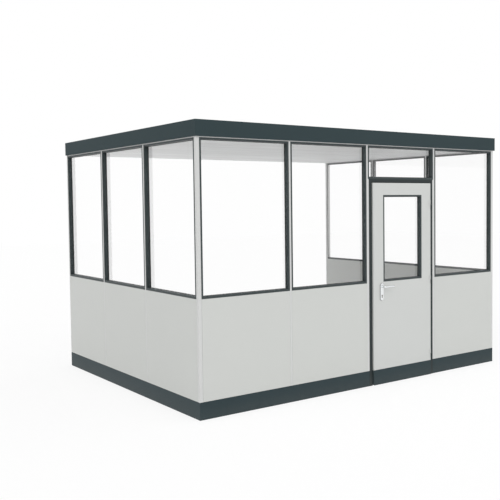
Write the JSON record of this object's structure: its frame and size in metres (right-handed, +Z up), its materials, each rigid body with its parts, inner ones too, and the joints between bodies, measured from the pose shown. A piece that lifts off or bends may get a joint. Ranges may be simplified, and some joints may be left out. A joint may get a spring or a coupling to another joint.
{
  "type": "in-plant office cabin",
  "caption": "Three-walled office cabin with windows above solid panels, a flat roof with a dark fascia and a hinged glazed door, open at the back where it stands against a hall wall.",
  "frame": {"origin": "on the floor, in the middle of the bounding box", "axes": "+X along the front wall to the right as seen from the front, +Y towards the open back, +Z up"},
  "size_m": [4.03, 3.077, 2.63],
  "materials": {
    "wall_panel": "satin light grey coating",
    "wall_profile": "satin light grey coating",
    "door_leaf": "satin light grey coating",
    "dark_plinth": "satin anthracite coating",
    "dark_fascia": "satin anthracite coating",
    "dark_window_frame": "satin anthracite coating",
    "dark_door_frame": "satin anthracite coating",
    "clear_glass": "clear float glass",
    "roof_sheet": "white coating with fine lengthwise lining",
    "fittings": "satin silver"
  },
  "bodies": {
    "cabin": {"plinth_left": "dark_plinth", "plinth_front_left": "dark_plinth", "plinth_front_right": "dark_plinth", "plinth_right": "dark_plinth", "left_panels": "wall_panel", "front_left_panels": "wall_panel", "front_right_panel": "wall_panel", "right_panels": "wall_panel", "corner_post_left": "wall_profile", "corner_post_right": "wall_profile", "left_posts": "wall_profile", "front_post": "wall_profile", "door_post_left": "wall_profile", "door_post_right": "wall_profile", "right_posts": "wall_profile", "wall_end_left": "wall_profile", "wall_end_right": "wall_profile", "left_head_rail": "wall_profile", "front_head_rail": "wall_profile", "right_head_rail": "wall_profile", "left_window_frames": "dark_window_frame", "front_left_window_frames": "dark_window_frame", "front_right_window_frame": "dark_window_frame", "right_window_frames": "dark_window_frame", "transom_frame": "dark_window_frame", "left_glass": "clear_glass", "front_left_glass": "clear_glass", "front_right_glass": "clear_glass", "right_glass": "clear_glass", "transom_glass": "clear_glass", "left_fascia": "dark_fascia", "front_fascia": "dark_fascia", "right_fascia": "dark_fascia", "roof_panels": "roof_sheet", "roof_rear_trim": "dark_fascia", "door_jamb_left": "dark_door_frame", "door_jamb_right": "dark_door_frame", "door_frame_head": "dark_door_frame"},
    "door": {"door_leaf": "door_leaf", "door_kick_plate": "dark_plinth", "door_window_frame": "dark_window_frame", "door_glass": "clear_glass", "door_hinges": "dark_door_frame", "door_lock_set": "fittings"},
    "lever": {"door_levers": "fittings"}
  },
  "joints": [
    {"name": "door_hinge", "type": "hinge", "parent": "cabin", "child": "door", "pos_m": [0.928, -1.4805, 1], "axis": [0, 0, 1], "range_deg": [0, 100]},
    {"name": "lever_turn", "type": "hinge", "parent": "door", "child": "lever", "pos_m": [0.182, -1.4525, 1.022], "axis": [0, 1, 0], "range_deg": [0, 40], "stiffness_Nm_per_rad": 2, "springref_deg": -20.05}
  ]
}
